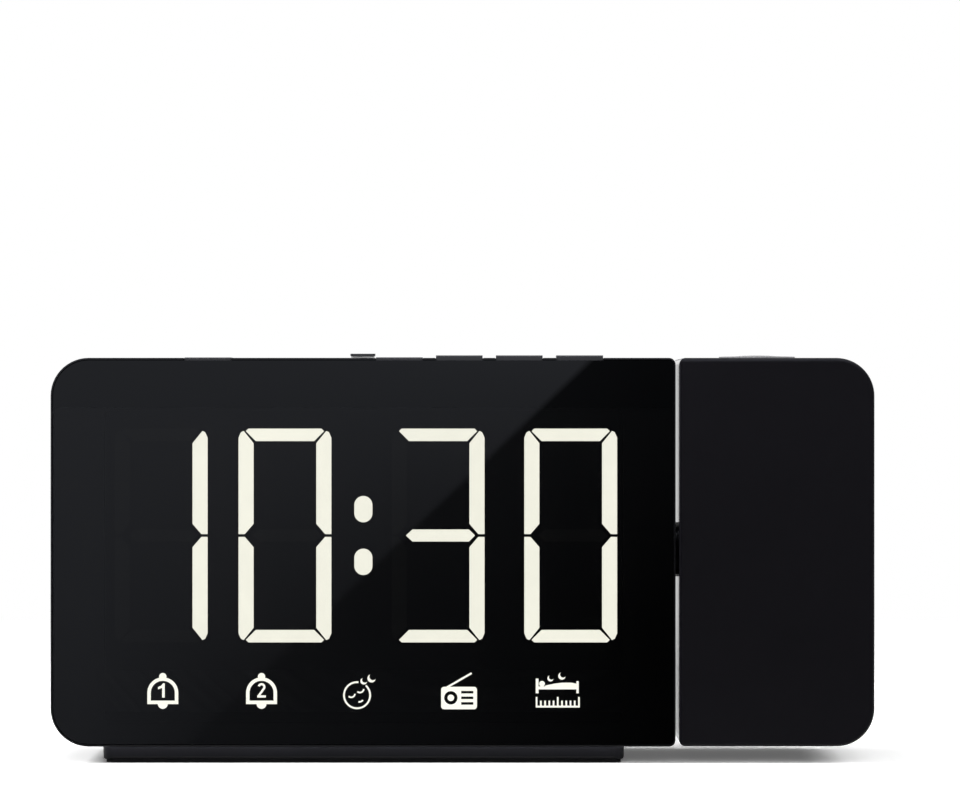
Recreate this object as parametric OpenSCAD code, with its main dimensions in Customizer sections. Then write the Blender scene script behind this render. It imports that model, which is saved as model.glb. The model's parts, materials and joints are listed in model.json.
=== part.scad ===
// Projection alarm clock: a long display body on a foot, with a projector head that
// swivels half a turn on a hollow hinge at its right-hand end.
// Millimetres. X runs to the right, Y to the back, Z up. The origin is on the table,
// under the middle of the clock. The display faces -Y.

/* [Case] */
// Width of the whole clock, body and projector head together
clock_w = 190.4; // [188:0.1:194]
// Depth of the case, front to back
clock_d = 38; // [38:0.5:40]
// Height of the case without its foot
case_h = 89.8; // [89:0.1:92]
// Radius of the four outer corners, seen from the front
corner_r = 8.8; // [8:0.1:10]
// Wall thickness of the shells
wall = 2; // [1.9:0.1:2.1]
// Radius along the top, bottom and side edges of the back
back_r = 5; // [4:0.5:6]

/* [Projector head] */
// Width of the projector head
head_w = 45.2; // [44:0.1:46]
// Gap between the body and the head
seam_gap = 0.8; // [0.6:0.1:1.6]
// Radius of the hinge neck that shows in the gap
neck_r = 6.4; // [6:0.1:6.6]
// Distance from the head's inner side to the lens axis
lens_offset = 19.3; // [17.1:0.1:20]

/* [Foot] */
// Height of the foot with its rubber sole
foot_h = 3.9; // [3.8:0.1:6]
// Width of the foot
foot_w = 120.8; // [110:0.1:130]
// Depth of the foot
foot_d = 34; // [30:0.5:36]

/* [Display] */
// Height of the digits
digit_h = 49.5; // [40:0.1:52]
// Width of the digits
digit_w = 21.5; // [18:0.1:22]
// Height of the middle of the digits above the table
digit_z = 52.6; // [50:0.1:54]

/* [Keys] */
// Width of the top keys
key_w = 10.8; // [8:0.1:11]
// How far a key goes down when it is pressed
key_travel = 0.5; // [0.3:0.1:0.6]
// How far the dimmer slides each way from its middle position
dimmer_travel = 2; // [1:0.5:2.5]

/* [Hidden] */
$fn = 48;
eps = 0.01;
slip = 0.05;            // radial clearance of a running fit

// The case's limits
case_x = clock_w / 2;
case_y = clock_d / 2;
case_z0 = foot_h;
case_z1 = foot_h + case_h;
top_in = case_z1 - wall;                // underside of the top wall
back_in = case_y - wall;                // inner face of the back wall
axis_z = foot_h + case_h / 2;           // hinge axis, along X at y = 0
seam_body_x = case_x - head_w - seam_gap;
seam_head_x = case_x - head_w;
body_mid_x = (seam_body_x - case_x) / 2;
seam_r = 1.6;                           // corners beside the gap, seen from the front
body_front_r = 0.25;
head_front_r = 1;
seam_edge_r = 0.5;
reveal = 0.15;                          // half of the groove where the two shells meet
lip_t = 0.8;
lip_h = 1.8;
lip_slack = 0.1;

// Layers of the display, from the front
rim = 0.4;                              // rim of the front shell round the panel
panel_gap = 0.2;
panel_t = 1.8;
film_t = 0.2;
ledge_y = -case_y + panel_t + film_t;   // front of the ledge that the panel is bonded to
ledge_t = 1.6;
cavity_y = ledge_y + ledge_t;           // front of the space inside the body
reflector_y = ledge_y + 0.05;
display_board_y = ledge_y + 8;
fill_t = 2.4;
board_t = 1.6;
window = [[body_mid_x - 60, 9.2], [body_mid_x + 60, 81.7]];
icon_mid_x = body_mid_x - 0.7;
icon_z = 16.6;
icon_pitch = 22.85;
icon_cell = [13, 9.8];

// Digits: their middles on X, and the segments that are lit at 10:30
digit_x = [for (offset = [-46.8, -18.15, 17.3, 48]) body_mid_x + offset];
digit_lit = [[1, 2], [0, 1, 2, 3, 4, 5], [0, 1, 2, 3, 6], [0, 1, 2, 3, 4, 5]];
bar_v = 3.5;                            // width of the upright segments
bar_h = 2.9;                            // height of the top and bottom segments
bar_m = 2.8;                            // height of the middle segment
bar_gap = 0.65;                         // between an upper and a lower segment
dot = [4.2, 6.1];
dot_pitch = 12.2;

// Keys: middles on X, measured from the middle of the body, and height above the case
key_names = ["snooze_key", "radio_key", "set_key", "down_key", "up_key"];
key_x = [for (offset = [-36, 8.3, 22.2, 36.1, 50.1]) body_mid_x + offset];
key_proud = [0.12, 0.15, 0.6, 0.6, 0.6];
key_y0 = -case_y + panel_t + 0.35;      // front of a key, just behind the panel
key_d = 7.4;
key_gap = 0.2;
key_bevel = 0.3;
flange_over = 1.2;                      // what the flange adds to a key at each side
flange_h = 1;
flange_z1 = top_in - 0.1;               // where the flange meets the key's cap
stem_y = key_y0 + 4.75;
stem_r = 1.5;
key_board_z = top_in - 7.9;
switch_z = key_board_z + board_t;
switch_h = 3.6;
switch_side = 6;

// Dimmer: a slide switch under the top wall, its stem and cap
dimmer_at = [body_mid_x - 0.45, -5];
dimmer_stem = [5.4, 3.2];
dimmer_stem_proud = 0.6;
dimmer_cap = [5.8, 4, 0.5];
dimmer_slot = [dimmer_stem[0] + 2 * dimmer_travel + 0.6, dimmer_stem[1] + 0.4];

// Hinge, from its inner end outwards
bearing_r = 8.6;
bearing_l = 6;
bearing_x = seam_body_x - bearing_l;    // inner end of the bearing
flange_r = 8.2;
flange_t = 1.6;
washer_t = 0.6;
hinge_x0 = bearing_x - washer_t - flange_t;
plate_side = 17;                        // square plate inside the head that turns with it
plate_t = 2;
plate_x = seam_head_x + wall + 0.1;
plate_end_x = plate_x + plate_t;
seat_wall = 1.5;
tube_r = 3.6;                           // the bore that the leads go through
leads_r = 1.7;
lug_r = 9.8;                            // reach of the stop lug

// Lens, along Z in the head
lens_x = seam_head_x + lens_offset;
ring_r = 8.95;
ring_proud = 0.45;
ring_top = case_z1 + ring_proud;
lens_seat = 1.2;                        // how deep the front lens sits in the ring
lens_rise = 0.85;                       // top of the front lens above the case
barrel_r = 6.8;
barrel_l = 12;
barrel_z = top_in - 16.8;
guide_w = 2;                            // slots that keep the barrel from turning
tube_z0 = axis_z + 10.15;
tube_z1 = top_in - 10.6;
tube_wall = 1.3;
mount_side = 24;                        // square flange of the lens tube
mount_t = 2;
slide_z = tube_z0 + 8.3;                // shoulder that the time slide lies on
collar_r = 5;

// Back of the body
speaker_at = [-66, 50];
speaker_r = 20;
door_at = [4, 70];
door_size = [27, 25];
tab_at = [4, 59.4];
jack_at = [-8, 16];
usb_at = [18, 16];
usb_size = [13.1, 5.7];
grommet_at = [-66, 17];
main_board_y = 5.4;
main_back = main_board_y + board_t;
main_board_area = [[-40, 8.6], [36, 54]];
cell_r = 10;
cell_t = 3.2;

// Screws
case_screws = [for (x = [8 - case_x, seam_body_x - 6], z = [-1, 1]) [x, axis_z + 36.4 * z]];
head_screws = [for (x = [seam_head_x + 5.3, case_x - 7.8], z = [-1, 1]) [x, axis_z + 35.9 * z]];
display_screws = [for (x = [6.6 - case_x, seam_body_x - 6], z = [30, 66]) [x, z]];
main_screws = [for (x = [-36.5, 32], z = [12.5, 50]) [x, z]];
foot_screws = [for (x = [-45, 45], y = [-10, 10]) [body_mid_x + x, y]];
lamp_screws = [-8.6, 8.6];
boss_r = 3.2;
post_r = 2.4;
case_screw_y = 6;                       // where the case screws' heads sit
case_screw_l = 15;

// ---- Drawing helpers ----

// A drawing seen from the front (x, z), made solid from y towards the back
module from_front(y, t) {
    translate([0, y + t, 0]) rotate([90, 0, 0]) linear_extrude(t) children();
}

// A drawing in plan (x, y), made solid upwards from z
module from_above(z, t) {
    translate([0, 0, z]) linear_extrude(t) children();
}

// A drawing seen from the left end (y, z), made solid from x towards the right
module from_left(x, t) {
    translate([x, 0, 0]) rotate([90, 0, 90]) linear_extrude(t) children();
}

module box(lo, hi) {
    translate(lo) cube(hi - lo);
}

// A round bar along Y at a place in (x, z)
module rod_y(at, y, l, r) {
    translate([at[0], y + l, at[1]]) rotate([90, 0, 0]) cylinder(r = r, h = l);
}

// A round bar on the hinge axis
module rod_x(x, l, r) {
    translate([x, 0, axis_z]) rotate([0, 90, 0]) cylinder(r = r, h = l);
}

// A round bar on the lens axis
module rod_lens(z, l, r) {
    translate([lens_x, 0, z]) cylinder(r = r, h = l);
}

module slice_y(y0, y1) {
    intersection() {
        children();
        box([-case_x - 1, y0, 0], [case_x + 1, y1, case_z1 + 1]);
    }
}

// What a convex corner of radius r loses from a square one, its middle at the origin
module corner_off(r) {
    difference() {
        square(r + 1);
        circle(r);
    }
}

// A rectangle between two corners, with radii for its left and right ends
module soft_rect(lo, hi, left_r, right_r) {
    difference() {
        translate(lo) square(hi - lo);
        if (right_r > 0) for (up = [0, 1])
            translate([hi[0] - right_r, up ? hi[1] - right_r : lo[1] + right_r])
                mirror([0, 1 - up]) corner_off(right_r);
        if (left_r > 0) for (up = [0, 1])
            translate([lo[0] + left_r, up ? hi[1] - left_r : lo[1] + left_r])
                mirror([1, 0]) mirror([0, 1 - up]) corner_off(left_r);
    }
}

module soft_rect_mid(at, size, r) {
    soft_rect(at - size / 2, at + size / 2, r, r);
}

// ---- The case as one form, before the gap divides it ----

// Section through its edge: x outwards, y towards the front
module edge_section(r, half_d, front, back) {
    difference() {
        translate([0, -half_d]) square([r, 2 * half_d]);
        if (front > 0) translate([r - front, half_d - front]) corner_off(front);
        translate([r - back, back - half_d]) mirror([0, 1]) corner_off(back);
    }
}

// The form with its surface moved inwards by inset
module case_form(inset, front) {
    r = corner_r - inset;
    back = back_r - inset;
    x1 = case_x - inset;
    z0 = case_z0 + inset;
    z1 = case_z1 - inset;
    half_d = case_y - inset;
    // Between the corners: the full section, along X
    from_left(-(x1 - r), 2 * (x1 - r)) {
        translate([-half_d, z0 + r]) square([2 * half_d, z1 - z0 - 2 * r]);
        for (up = [0, 1])
            translate([0, up ? z1 - r : z0 + r]) rotate(up ? 90 : -90) mirror([0, 1 - up])
                edge_section(r, half_d, front, back);
    }
    // The two ends, and the corners as quarter turns
    for (side = [-1, 1]) {
        translate([side * (x1 - r), 0, z0 + r]) mirror([side < 0 ? 1 : 0, 0, 0])
            linear_extrude(z1 - z0 - 2 * r) mirror([0, 1]) edge_section(r, half_d, front, back);
        for (up = [0, 1])
            translate([side * (x1 - r), 0, up ? z1 - r : z0 + r]) rotate([90, 0, 0])
                rotate([0, 0, side > 0 ? (up ? 0 : 270) : (up ? 90 : 180)])
                rotate_extrude(angle = 90) edge_section(r, half_d, front, back);
    }
}

// The part of the form on one side of the gap. The edges at the gap are rounded.
module side_form(inset, front, head) {
    far = case_x + 20;
    seam = head ? seam_head_x + inset : seam_body_x - inset;
    r = max(seam_r - inset, 0);
    edge = max(seam_edge_r - inset, 0);
    intersection() {
        case_form(inset, front);
        from_front(-far, 2 * far)
            if (head) soft_rect([seam, case_z0 + inset], [far, case_z1 - inset], r, 0);
            else soft_rect([-far, case_z0 + inset], [seam, case_z1 - inset], 0, r);
        from_above(-1, case_z1 + 2)
            if (head) soft_rect([seam, -case_y + inset], [far, case_y - inset], edge, 0);
            else soft_rect([-far, -case_y + inset], [seam, case_y - inset], 0, edge);
    }
}

// The wall of one front shell, with a lip that the rear shell's wall closes over.
// The lip stops short of the hinge.
module front_wall(front, head) {
    seam = head ? seam_head_x : seam_body_x;
    difference() {
        union() {
            slice_y(-case_y - 1, -reveal) side_form(0, front, head);
            slice_y(-reveal - 1, lip_h) side_form(wall - lip_t, 0, head);
        }
        slice_y(head ? -case_y : cavity_y, case_y) side_form(wall, 0, head);
        box([seam - wall - 1, 0, axis_z - 12], [seam + wall + 1, lip_h + 1, axis_z + 12]);
    }
}

module rear_wall(front, head) {
    difference() {
        slice_y(reveal, case_y + 1) side_form(0, front, head);
        slice_y(-1, lip_h + lip_slack) side_form(wall - lip_t - lip_slack, 0, head);
        side_form(wall, 0, head);
    }
}

// Bosses of the screws that close a case, and what is drilled in them
module front_bosses(places, y) {
    for (at = places) rod_y(at, y, -1 - y, boss_r);
}

module rear_bosses(places) {
    for (at = places) rod_y(at, -1, back_in + 1 + eps, boss_r);
}

module blind_holes(places) {
    for (at = places) rod_y(at, case_screw_y - case_screw_l - 1, case_screw_l, 1.25);
}

module counterbores(places) {
    for (at = places) {
        rod_y(at, -2, case_y + 4, 1.6);
        rod_y(at, case_screw_y, case_y, 2.5);
    }
}

// A pan-head screw: its head begins at y, and back is 1 if the head faces the back
module cross_screw(at, y, shank_r, head_r, l, back = 1) {
    head_t = 1.4;
    translate([at[0], y, at[1]]) rotate([back ? -90 : 90, 0, 0]) {
        translate([0, 0, -l]) cylinder(r = shank_r, h = l + eps);
        difference() {
            cylinder(r = head_r, h = head_t);
            for (a = [0, 90]) translate([0, 0, head_t]) rotate([0, 0, a])
                cube([head_r * 1.2, 0.5, 1.2], center = true);
        }
    }
}

// ---- Front shell of the body ----

// What a key needs through the top wall: a notch that is open to the front, and
// room for its flange
module key_notch(x) {
    side = key_w / 2 + key_gap;
    box([x - side, -case_y - 1, flange_z1 - 0.1],
        [x + side, key_y0 + key_d + key_gap, case_z1 + 1]);
    box([x - side - flange_over, ledge_y - eps, flange_z1 - flange_h - key_travel - 0.2],
        [x + side + flange_over, cavity_y + eps, flange_z1 + 0.1]);
}

module bearing_bore() {
    rod_x(bearing_x - 1, bearing_l + 2, neck_r + slip);
}

// Bosses over the foot screws, in the front or the rear row
module foot_bosses(places) {
    for (at = places) translate([at[0], at[1], case_z0 + wall]) difference() {
        translate([0, 0, -eps]) cylinder(r = 3, h = 3);
        translate([0, 0, -1]) cylinder(r = 1.25, h = 5);
    }
}

module foot_holes(places) {
    for (at = places) translate([at[0], at[1], 0]) cylinder(r = 1.25, h = 12);
}

// Stop for the hinge's lug, a quarter turn from its rest position
module hinge_stop(side) {
    reach = [flange_r + 0.15, lug_r + 0.5];
    drop = [6, 1.75];
    box([hinge_x0 + 0.2, side < 0 ? -reach[1] : reach[0], axis_z - drop[0]],
        [bearing_x + 2, side < 0 ? -reach[0] : reach[1], axis_z - drop[1]]);
    box([bearing_x, side < 0 ? -reach[1] : 6, axis_z - drop[0]],
        [seam_body_x - wall + eps, side < 0 ? -6 : reach[1], axis_z - drop[1]]);
}

module front_housing() color([0.055, 0.055, 0.06]) {
    difference() {
        union() {
            front_wall(body_front_r, false);
            front_bosses(case_screws, cavity_y - eps);
            for (at = display_screws)
                rod_y(at, cavity_y - eps, display_board_y - cavity_y + eps, post_r);
            slice_y(-case_y, 0) rod_x(bearing_x, bearing_l - 1, bearing_r);
            hinge_stop(-1);
            // Ribs under the key board
            for (offset = [-50, 2, 52])
                box([body_mid_x + offset - 0.8, cavity_y - eps, key_board_z - 1.4],
                    [body_mid_x + offset + 0.8, -5, key_board_z]);
        }
        // The bed of the panel and the window behind it
        from_front(-case_y - 1, panel_t + film_t + 1)
            soft_rect([-case_x + rim, case_z0 + rim], [seam_body_x - rim, case_z1 - rim],
                      corner_r - rim, seam_r - rim);
        from_front(ledge_y - 1, ledge_t + 2) soft_rect(window[0], window[1], 1.5, 1.5);
        for (x = key_x) key_notch(x);
        from_above(top_in - 1, wall + 2) soft_rect_mid(dimmer_at, dimmer_slot, 0.4);
        blind_holes(case_screws);
        for (at = display_screws) rod_y(at, display_board_y - 5, 6, 0.95);
        bearing_bore();
        foot_holes([foot_screws[0], foot_screws[2]]);
    }
    foot_bosses([foot_screws[0], foot_screws[2]]);
}

// ---- Rear shell of the body ----

// Upright slots inside a circle, over the speaker
module grille_slots() {
    slot_w = 1.6;
    pitch = 3.4;
    for (i = [-5 : 5]) {
        half = sqrt(pow(speaker_r - 1.8, 2) - pow(i * pitch, 2)) - 0.6;
        from_front(back_in - 1, wall + 2)
            translate([speaker_at[0] + i * pitch - slot_w / 2, speaker_at[1] - half])
                square([slot_w, 2 * half]);
    }
}

module rear_housing() color([0.055, 0.055, 0.06]) {
    collar_t = 1.5;
    difference() {
        union() {
            rear_wall(1, false);
            rear_bosses(case_screws);
            slice_y(0, case_y) rod_x(bearing_x, bearing_l - 1, bearing_r);
            hinge_stop(1);
            rod_y(speaker_at, back_in - 3, 3 + eps, speaker_r + 1.6);
            // Well of the coin cell, and collars round the sockets
            from_front(back_in - 6, 6 + eps) soft_rect_mid(door_at, door_size - [2, 1], 2);
            from_front(back_in - collar_t, collar_t + eps) {
                soft_rect_mid(jack_at, [13, 13], 1.5);
                soft_rect_mid(usb_at, usb_size + [4, 4], 1.5);
            }
            for (at = main_screws) rod_y(at, main_back, back_in - main_back + eps, post_r);
            // Stiffening ribs
            for (x = [-42.6, 38.6]) box([x, back_in - 4, 10], [x + 1.2, back_in + eps, 38]);
            for (z = [26, 74])
                box([wall - case_x - eps, back_in - 4, z], [8 - case_x, back_in + eps, z + 1.2]);
        }
        rod_y(speaker_at, back_in - 4, 4, speaker_r + 0.1);
        grille_slots();
        // Bed of the battery door, the well behind it and the catch of its tab
        from_front(case_y - 1.5, 2) soft_rect_mid(door_at, door_size + [0.3, 0.3], 2);
        rod_y(door_at, back_in - 5, 8, cell_r + 0.6);
        from_front(back_in - 1, 4) soft_rect_mid(tab_at, [6.4, 3], 0.5);
        // Openings for the sockets and the aerial wire
        rod_y(jack_at, back_in - 3, 6, 4.2);
        from_front(back_in - 3, 6) soft_rect_mid(usb_at, usb_size + [0.5, 0.5], 0.4);
        rod_y(grommet_at, back_in - 3, 6, 2.6);
        counterbores(case_screws);
        for (at = main_screws) rod_y(at, main_back - 1, 6, 0.95);
        bearing_bore();
        foot_holes([foot_screws[1], foot_screws[3]]);
    }
    foot_bosses([foot_screws[1], foot_screws[3]]);
}

// ---- Display ----

module front_panel() color([0.02, 0.02, 0.022, 0.6]) {
    fit = rim + panel_gap;
    from_front(-case_y, panel_t)
        soft_rect([-case_x + fit, case_z0 + fit], [seam_body_x - fit, case_z1 - fit],
                  corner_r - fit, seam_r - fit);
}

// Dark film behind the panel, with the icons printed out of it
module icon_film() color([0.012, 0.012, 0.014])
    from_front(-case_y + panel_t, film_t)
        translate([window[0][0], icon_z - icon_cell[1] / 2])
            square([window[1][0] - window[0][0], icon_cell[1]]);

// One segment of a digit, 0 to 6 for a to g, drawn round the digit's middle. Slanted cuts
// part it from its neighbours, and a small bevel blunts its outer corner.
module segment(s) {
    w = digit_w / 2;
    h = digit_h / 2;
    if (s == 0 || s == 3)
        mirror([0, s == 3 ? 1 : 0])
            polygon([[2.3 - w, h], [1.7 - w, h - 0.6], [4 - w, h - bar_h],
                     [w - 4, h - bar_h], [w - 1.7, h - 0.6], [w - 2.3, h]]);
    else if (s == 6)
        polygon([[3.3 - w, 0], [4.8 - w, bar_m / 2], [w - 3.6, bar_m / 2], [w - 2.2, 0],
                 [w - 3.6, -bar_m / 2], [4.8 - w, -bar_m / 2]]);
    else
        mirror([s == 4 || s == 5 ? 0 : 1, 0]) mirror([0, s == 2 || s == 4 ? 1 : 0])
            polygon([[-w, bar_gap / 2], [1.45 - w, bar_gap / 2], [bar_v - w, 2.7],
                     [bar_v - w, h - 3.4], [1.2 - w, h - 0.55], [0.55 - w, h - 0.85],
                     [-w, h - 2.1]]);
}

module all_segments(lit) {
    for (d = [0 : 3], s = [0 : 6])
        if ((len(search(s, digit_lit[d])) > 0) == lit)
            translate([digit_x[d], digit_z]) segment(s);
}

module colon() {
    for (side = [-1, 1])
        translate([body_mid_x, digit_z + side * dot_pitch / 2]) {
            square([dot[0], dot[1] - dot[0]], center = true);
            for (up = [-1, 1]) translate([0, up * (dot[1] - dot[0]) / 2]) circle(dot[0] / 2);
        }
}

module icon_cells(shrink) {
    for (i = [-2 : 2])
        soft_rect_mid([icon_mid_x + i * icon_pitch, icon_z], icon_cell - [shrink, shrink], 1);
}

// Moulded block with a light well behind every segment, dot and icon
module display_reflector() color([0.03, 0.03, 0.03])
    difference() {
        from_front(reflector_y, display_board_y - reflector_y)
            soft_rect(window[0] + [0.2, 0.2], window[1] - [0.2, 0.2], 1.3, 1.3);
        from_front(reflector_y - 1, display_board_y - reflector_y + 2) {
            all_segments(true);
            all_segments(false);
            colon();
            icon_cells(0);
        }
    }

module lit_segments() color([0.95, 0.96, 0.9])
    from_front(reflector_y, fill_t) {
        all_segments(true);
        colon();
    }

module unlit_segments() color([0.05, 0.05, 0.05])
    from_front(reflector_y, fill_t) all_segments(false);

module icon_diffusers() color([0.85, 0.86, 0.82])
    from_front(reflector_y, fill_t / 2) icon_cells(0.2);

// The board covers the reflector's back and has an ear for each of its screws
module display_board() color([0.1, 0.28, 0.14])
    from_front(display_board_y, board_t) difference() {
        union() {
            soft_rect(window[0] + [-0.2, 0.6], window[1] + [0.2, -0.5], 1.5, 1.5);
            for (at = display_screws) {
                inwards = at[0] < 0 ? 1 : -1;
                translate([at[0] + inwards, at[1]]) square([7, 7], center = true);
            }
        }
        for (at = display_screws) translate(at) circle(1.3);
    }

// One chip behind each segment, each dot and each icon
segment_mid = [[0, 1], [1, 0.5], [1, -0.5], [0, -1], [-1, -0.5], [-1, 0.5], [0, 0]];
module display_leds() color([0.9, 0.9, 0.7]) {
    chip = [2, 0.8, 1.2];
    spots = concat(
        [for (d = [0 : 3], s = [0 : 6])
            [digit_x[d] + segment_mid[s][0] * (digit_w - bar_v) / 2,
             digit_z + segment_mid[s][1] * (digit_h - bar_h) / 2]],
        [for (side = [-1, 1]) [body_mid_x, digit_z + side * dot_pitch / 2]],
        [for (i = [-2 : 2]) [icon_mid_x + i * icon_pitch, icon_z]]);
    for (at = spots)
        translate([at[0] - chip[0] / 2, display_board_y - chip[1], at[1] - chip[2] / 2]) cube(chip);
}

// Flat cable from the display board to the main board, folded twice
module display_ribbon() color([0.75, 0.75, 0.72]) {
    y0 = display_board_y + board_t;
    y1 = main_board_y;
    t = 0.5;
    from_left(-31.8, 18)
        polygon([[y0, 24], [y0 + 3, 24], [y0 + 3, 30], [y1 - 2, 30], [y1 - 2, 26], [y1, 26],
                 [y1, 26 + t], [y1 - 2 + t, 26 + t], [y1 - 2 + t, 30 + t],
                 [y0 + 3 - t, 30 + t], [y0 + 3 - t, 24 + t], [y0, 24 + t]]);
}

// ---- Main board, sockets and speaker ----

module main_board() color([0.1, 0.28, 0.14])
    from_front(main_board_y, board_t) difference() {
        soft_rect(main_board_area[0], main_board_area[1], 1.5, 1.5);
        for (at = main_screws) translate(at) circle(1.3);
    }

// Chips, capacitors and a crystal, on the back of the board
module main_board_parts() color([0.08, 0.08, 0.08]) {
    chips = [[[-26, 40], [12, 12], 1.8], [[-6, 42], [9, 7], 1.4], [[12, 44], [7, 5], 1.4],
             [[-34, 22], [5, 8], 2]];
    for (chip = chips)
        from_front(main_back, chip[2]) translate(chip[0]) square(chip[1], center = true);
    for (at = [[24, 42], [26, 32], [4, 30]]) rod_y(at, main_back, 8, 3.1);
    from_front(main_back, 3) soft_rect_mid([-14, 27], [10, 4], 1.9);
}

module board_screws() color([0.7, 0.7, 0.68]) {
    for (at = display_screws) cross_screw(at, display_board_y + board_t, 0.9, 1.9, 6);
    for (at = main_screws) cross_screw(at, main_board_y, 0.9, 1.9, 6, back = 0);
}

// A socket for a barrel plug, with its centre contact
module dc_jack() color([0.05, 0.05, 0.05]) {
    shoulder = back_in - 1.7;
    floor_y = main_back + 1.4;
    difference() {
        union() {
            from_front(main_back, shoulder - main_back) soft_rect_mid(jack_at, [9.6, 9.6], 0.6);
            rod_y(jack_at, shoulder - eps, case_y - 0.6 - shoulder, 4.1);
        }
        rod_y(jack_at, floor_y, case_y, 3.15);
    }
    rod_y(jack_at, floor_y - eps, 8.2, 1.05);
}

// A type A socket: folded shell and tongue
module usb_socket() color([0.72, 0.73, 0.74]) {
    floor_y = main_back + 2;
    difference() {
        from_front(main_back, case_y - 0.8 - main_back) soft_rect_mid(usb_at, usb_size, 0.3);
        from_front(floor_y, case_y) soft_rect_mid(usb_at, usb_size - [0.7, 0.7], 0.2);
    }
    from_front(floor_y - eps, case_y - 2 - floor_y)
        translate(usb_at + [-5.7, 0.1]) square([11.4, 1.8]);
}

// Grommet of the aerial wire
module antenna_grommet() color([0.04, 0.04, 0.04])
    difference() {
        union() {
            rod_y(grommet_at, back_in - 1.2, wall + 1.1, 2.5);
            rod_y(grommet_at, back_in - 1.2, 1.15, 3.8);
        }
        rod_y(grommet_at, back_in - 2, wall + 4, 0.8);
    }

// Things that lie behind the speaker's opening turn about its axis; z runs inwards
module at_speaker() {
    translate([speaker_at[0], back_in, speaker_at[1]]) rotate([90, 0, 0]) children();
}

module speaker_frame() color([0.35, 0.35, 0.36])
    at_speaker() difference() {
        rotate_extrude()
            polygon([[16.8, 0], [speaker_r, 0], [speaker_r, 1.2], [18.2, 1.2], [11.8, 6.4],
                     [0, 6.4], [0, 5.6], [11.4, 5.6], [16.8, 1]]);
        for (a = [0 : 60 : 300]) rotate([0, 0, a]) translate([14.6, 0, 1.6]) cylinder(r = 2, h = 4);
    }

module speaker_cone() color([0.06, 0.06, 0.065])
    at_speaker() rotate_extrude()
        polygon([[0, 3.2], [5.6, 2.4], [6, 3.4], [14.6, 1.1], [15.4, 0.7], [16.7, 0.7],
                 [16.7, 1], [15.4, 1], [14.8, 1.4], [6.2, 3.9], [6, 4.6], [5.4, 4.6],
                 [5.2, 3], [0, 3.8]]);

module speaker_magnet() color([0.3, 0.3, 0.31])
    at_speaker() translate([0, 0, 6.4]) {
        cylinder(r = 9.6, h = 3.6);
        translate([0, 0, 3.6 - eps]) cylinder(r = 8, h = 0.7);
    }

module coin_cell() color([0.8, 0.8, 0.8])
    rod_y(door_at, back_in - 4.15, cell_t, cell_r);

module cell_contacts() color([0.78, 0.74, 0.6])
    from_front(back_in - 4.8, 0.6) {
        soft_rect_mid(door_at, [12, 3], 1);
        soft_rect_mid(door_at, [3, 12], 1);
    }

// Cover of the coin cell, with a finger recess over its snap tab
module battery_door() color([0.06, 0.06, 0.065])
    difference() {
        union() {
            from_front(case_y - 1.4, 1.4) soft_rect_mid(door_at, door_size, 1.9);
            from_front(back_in - 0.9, 1.6) soft_rect_mid(tab_at, [6, 2.6], 0.4);
        }
        translate([door_at[0], case_y + 5, door_at[1] - 7]) sphere(r = 6);
    }

// ---- Foot ----

// Round the foot from the table up: a rubber sole, a rounded lower edge and a bevelled top
sole_t = 0.8;
foot_bevel = 0.3;
foot_round = 0.7;

// The foot's outline in plan, moved inwards by inset
module foot_plan(inset) {
    soft_rect_mid([body_mid_x, 0], [foot_w - 2 * inset, foot_d - 2 * inset], 2.5 - inset);
}

// Section through the foot's rim: x outwards from the middle of a side, y up
module foot_section(reach) {
    difference() {
        translate([-1, sole_t]) square([reach + 1, foot_h - sole_t]);
        translate([reach, foot_h]) rotate(45) square(foot_bevel * sqrt(2), center = true);
        translate([reach - foot_round, sole_t + foot_round]) mirror([0, 1]) corner_off(foot_round);
    }
}

module foot() color([0.045, 0.045, 0.05])
    difference() {
        intersection() {
            from_above(sole_t, foot_h - sole_t) foot_plan(0);
            from_front(-foot_d, 2 * foot_d) translate([body_mid_x, 0])
                for (side = [0, 1]) mirror([side, 0]) foot_section(foot_w / 2);
            from_left(-clock_w, 2 * clock_w)
                for (side = [0, 1]) mirror([side, 0]) foot_section(foot_d / 2);
        }
        for (at = foot_screws) translate([at[0], at[1], 0]) {
            cylinder(r = 1.6, h = 6);
            cylinder(r = 3, h = sole_t + 1.3);
        }
    }

module foot_sole() color([0.02, 0.02, 0.02])
    from_above(0, sole_t) foot_plan(foot_round);

module foot_screws() color([0.5, 0.5, 0.5])
    for (at = foot_screws) translate([at[0], at[1], sole_t + 0.1]) {
        cylinder(r = 2.6, h = 1.2);
        cylinder(r = 1.2, h = 7);
    }

module case_screws() color([0.5, 0.5, 0.5])
    for (at = case_screws) cross_screw(at, case_screw_y, 1.2, 2.3, case_screw_l);

// ---- Keys and dimmer ----

module key(i) color([0.07, 0.07, 0.075]) {
    y1 = key_y0 + key_d;
    z0 = flange_z1 - flange_h;
    z1 = case_z1 + key_proud[i];
    from_left(key_x[i] - key_w / 2, key_w)
        polygon([[key_y0, z0], [y1, z0], [y1, z1 - key_bevel], [y1 - key_bevel, z1],
                 [key_y0 + key_bevel, z1], [key_y0, z1 - key_bevel]]);
    box([key_x[i] - key_w / 2 - flange_over, key_y0, z0],
        [key_x[i] + key_w / 2 + flange_over, y1 - 0.4, flange_z1 - 0.15]);
    translate([key_x[i], stem_y, z0 - 2]) cylinder(r = stem_r, h = 2 + eps);
}

module key_board() color([0.1, 0.28, 0.14])
    from_above(key_board_z, board_t)
        soft_rect([body_mid_x - 52, cavity_y + 0.2], [body_mid_x + 58, -2.2], 1, 1);

// Push switches under the keys, each with a well for its key's stem
module key_switches() color([0.12, 0.12, 0.12])
    for (x = key_x) translate([x, stem_y, switch_z]) difference() {
        translate([-switch_side / 2, -switch_side / 2, 0]) cube([switch_side, switch_side, switch_h]);
        translate([0, 0, 0.8]) cylinder(r = stem_r + 0.2, h = switch_h);
    }

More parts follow.
